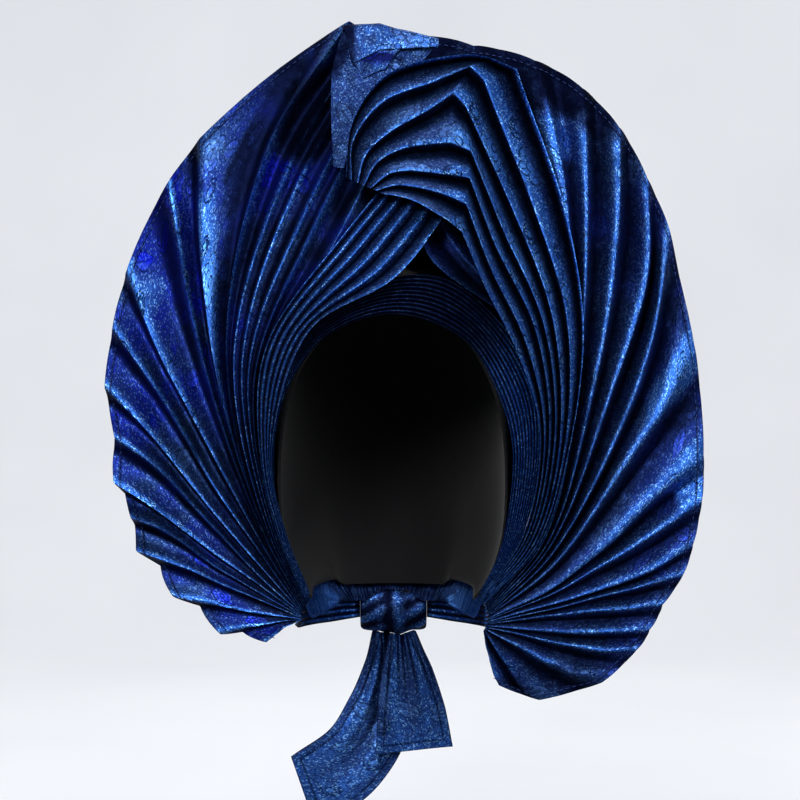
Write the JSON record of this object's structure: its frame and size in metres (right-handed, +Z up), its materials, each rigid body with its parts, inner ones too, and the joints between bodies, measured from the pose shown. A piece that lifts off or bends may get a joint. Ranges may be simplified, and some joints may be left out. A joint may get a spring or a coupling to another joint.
{
  "type": "pleated head tie",
  "caption": "Pleated gele head tie in royal-blue jacquard: a wide fan round the face over a knit cap, tied behind the head with hanging tails.",
  "frame": {"origin": "on the crown of the head, where the inside of the cap rests", "axes": "+Z up along the worn head, +X to the right as the wearer is faced, -Y towards the front of the face"},
  "size_m": [0.377, 0.1941, 0.5216],
  "materials": {
    "jacquard": "satin jacquard with a metallic thread",
    "jacquard_deep": "the same jacquard, gathered and in shade",
    "knit": "matt stretch knit"
  },
  "bodies": {
    "root": {"inner_cap": "knit", "forehead_band": "jacquard_deep", "left_fan": "jacquard", "right_fan": "jacquard", "cross_pleats": "jacquard", "swirl_folds": "jacquard", "top_panel": "jacquard", "back_wrap": "jacquard_deep", "tie_left": "jacquard_deep", "tie_right": "jacquard_deep", "back_knot": "jacquard_deep", "tail_left": "jacquard", "tail_right": "jacquard"}
  },
  "joints": []
}
